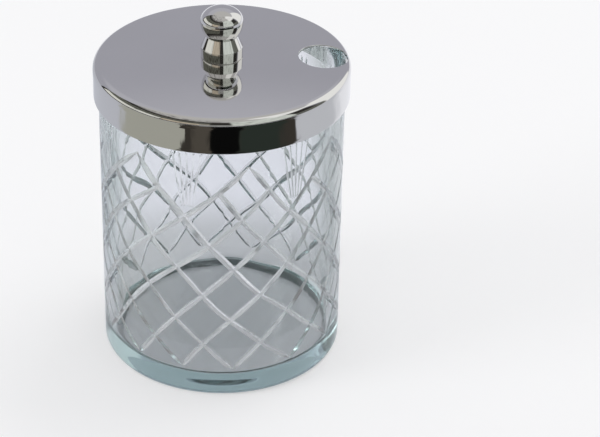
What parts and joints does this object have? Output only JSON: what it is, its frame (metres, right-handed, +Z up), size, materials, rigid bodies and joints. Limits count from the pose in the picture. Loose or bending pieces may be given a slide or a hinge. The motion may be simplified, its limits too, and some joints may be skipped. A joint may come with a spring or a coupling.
{
  "type": "glass storage jar with a lid",
  "caption": "Round cut-glass storage jar with a loose domed metal lid, a turned knob and a round hole in the lid for a spoon.",
  "frame": {"origin": "centre of the flat foot that the jar stands on", "axes": "+Z up along the axis of the jar, +X towards the spoon hole in the lid"},
  "size_m": [0.076, 0.076, 0.1122],
  "materials": {
    "glass": "clear, faintly green, hand cut and polished",
    "plated_lid": "pressed sheet, bright nickel plate",
    "plated_knob": "turned bar, bright nickel plate"
  },
  "bodies": {
    "root": {"glass_jar": "glass", "lid": "plated_lid", "knob": "plated_knob"}
  },
  "joints": []
}
